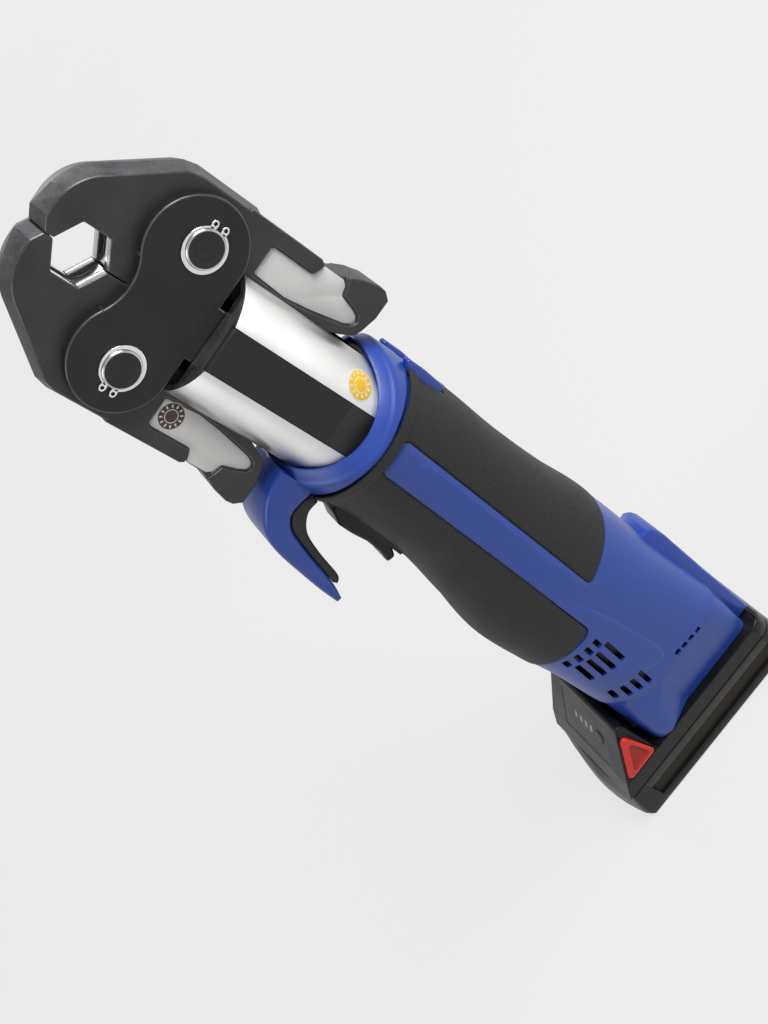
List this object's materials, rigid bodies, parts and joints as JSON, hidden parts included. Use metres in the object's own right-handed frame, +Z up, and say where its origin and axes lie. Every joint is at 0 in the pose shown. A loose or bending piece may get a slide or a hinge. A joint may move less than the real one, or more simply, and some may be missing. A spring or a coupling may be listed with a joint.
{
  "type": "battery press tool",
  "caption": "In-line battery press tool with a swivelling fork head, two-piece press jaw, finger guard, rubber grip and slide-on battery.",
  "frame": {"origin": "on the battery's flat base, under the barrel axis", "axes": "+Z up the barrel axis to the jaw, +X to the palm side, -X to the trigger and finger guard, -Y to the near side"},
  "size_m": [0.1583, 0.077, 0.4967],
  "materials": {
    "black_steel": "black oxide, satin",
    "spring_steel": "plain spring steel",
    "bright_steel": "turned and nickel plated",
    "black_plastic": "fine grain",
    "drive_steel": "ground",
    "bronze": "machined",
    "gear_alloy": "die cast",
    "motor_steel": "rolled",
    "blue_plastic": "moulded, satin",
    "grip_rubber": "overmoulded, fine speckle",
    "board": "solder mask",
    "red_plastic": "moulded, satin",
    "gauge_plastic": "matt",
    "cell_wrap": "shrink sleeve",
    "contact_brass": "plated"
  },
  "bodies": {
    "housing": {"housing_near": "blue_plastic", "housing_far": "blue_plastic", "grip_near": "grip_rubber", "grip_far": "grip_rubber", "housing_screws": "drive_steel", "switch_module": "black_plastic", "control_board": "board", "terminal_block": "black_plastic", "gearbox_casing": "gear_alloy", "motor_can": "motor_steel", "thrust_bearing": "drive_steel", "trigger_pin": "drive_steel"},
    "head": {"fork_head": "bright_steel", "cover_strip": "black_plastic", "head_ring": "spring_steel", "link_plate_near": "black_steel", "link_plate_far": "black_steel", "jaw_pin_upper": "black_steel", "jaw_pin_lower": "black_steel", "circlips": "spring_steel", "jaw_spring": "spring_steel", "spring_post": "spring_steel"},
    "jaw_upper_half": {"jaw_upper": "black_steel"},
    "jaw_lower_half": {"jaw_lower": "black_steel"},
    "bolt": {"retaining_bolt": "bright_steel", "bolt_knob": "black_plastic"},
    "carriage": {"roller_carriage": "drive_steel", "roller_pins": "drive_steel", "spindle": "drive_steel"},
    "upper_roller": {"roller_upper": "drive_steel"},
    "lower_roller": {"roller_lower": "drive_steel"},
    "nut": {"spindle_nut": "bronze"},
    "rotor": {"motor_shaft": "drive_steel", "cooling_fan": "black_plastic"},
    "trigger_lever": {"trigger": "black_plastic"},
    "reset": {"reset_button": "black_plastic"},
    "battery": {"battery_case": "black_plastic", "battery_lid": "black_plastic", "battery_cells": "cell_wrap", "battery_terminals": "contact_brass", "gauge_panel": "gauge_plastic"},
    "near_latch": {"latch_near": "red_plastic"},
    "far_latch": {"latch_far": "red_plastic"},
    "gauge_key": {"gauge_button": "gauge_plastic"}
  },
  "joints": [
    {"name": "head_swivel", "type": "hinge", "parent": "housing", "child": "head", "pos_m": [0, 0, 0.36], "axis": [0, 0, 1], "range_deg": [-135, 135]},
    {"name": "nut_spin", "type": "hinge", "parent": "housing", "child": "nut", "pos_m": [0, 0, 0.29], "axis": [0, 0, 1], "range_deg": [-2520, 0]},
    {"name": "drive_slide", "type": "slide", "parent": "head", "child": "carriage", "axis": [0, 0, 1], "range_m": [-0.042, 0]},
    {"name": "jaw_upper_pivot", "type": "hinge", "parent": "head", "child": "jaw_upper_half", "pos_m": [0.0289, 0, 0.434], "axis": [0, 1, 0], "range_deg": [0, 10]},
    {"name": "jaw_lower_pivot", "type": "hinge", "parent": "head", "child": "jaw_lower_half", "pos_m": [-0.0289, 0, 0.434], "axis": [0, -1, 0], "range_deg": [0, 10]},
    {"name": "roller_upper_spin", "type": "hinge", "parent": "carriage", "child": "upper_roller", "pos_m": [0.01265, 0, 0.368], "axis": [0, 1, 0], "continuous": true},
    {"name": "roller_lower_spin", "type": "hinge", "parent": "carriage", "child": "lower_roller", "pos_m": [-0.01265, 0, 0.368], "axis": [0, 1, 0], "continuous": true},
    {"name": "bolt_pull", "type": "slide", "parent": "head", "child": "bolt", "axis": [0, 1, 0], "range_m": [0, 0.042]},
    {"name": "rotor_spin", "type": "hinge", "parent": "housing", "child": "rotor", "pos_m": [0, 0, 0.17], "axis": [0, 0, 1], "continuous": true},
    {"name": "trigger_press", "type": "hinge", "parent": "housing", "child": "trigger_lever", "pos_m": [-0.031, 0, 0.294], "axis": [0, -1, 0], "range_deg": [0, 5.5], "stiffness_Nm_per_rad": 1, "springref_deg": -2.86},
    {"name": "reset_press", "type": "slide", "parent": "housing", "child": "reset", "axis": [-1, 0, 0], "range_m": [0, 0.0016], "stiffness_N_per_m": 400, "springref_m": -0.001},
    {"name": "battery_slide", "type": "slide", "parent": "housing", "child": "battery", "axis": [-1, 0, 0], "range_m": [0, 0.12]},
    {"name": "latch_near_press", "type": "slide", "parent": "battery", "child": "near_latch", "axis": [0, 1, 0], "range_m": [0, 0.0025], "stiffness_N_per_m": 500, "springref_m": -0.001},
    {"name": "latch_far_press", "type": "slide", "parent": "battery", "child": "far_latch", "axis": [0, -1, 0], "range_m": [0, 0.0025], "stiffness_N_per_m": 500, "springref_m": -0.001},
    {"name": "gauge_press", "type": "slide", "parent": "battery", "child": "gauge_key", "axis": [0.8081, 0, -0.5891], "range_m": [0, 0.0008], "stiffness_N_per_m": 250, "springref_m": -0.0005}
  ],
  "couplings": [
    {"joint": "nut_spin", "follows": "drive_slide", "rad_per_m": 1047},
    {"joint": "jaw_upper_pivot", "follows": "drive_slide", "rad_per_m": -4.155},
    {"joint": "jaw_lower_pivot", "follows": "drive_slide", "rad_per_m": -4.155}
  ]
}
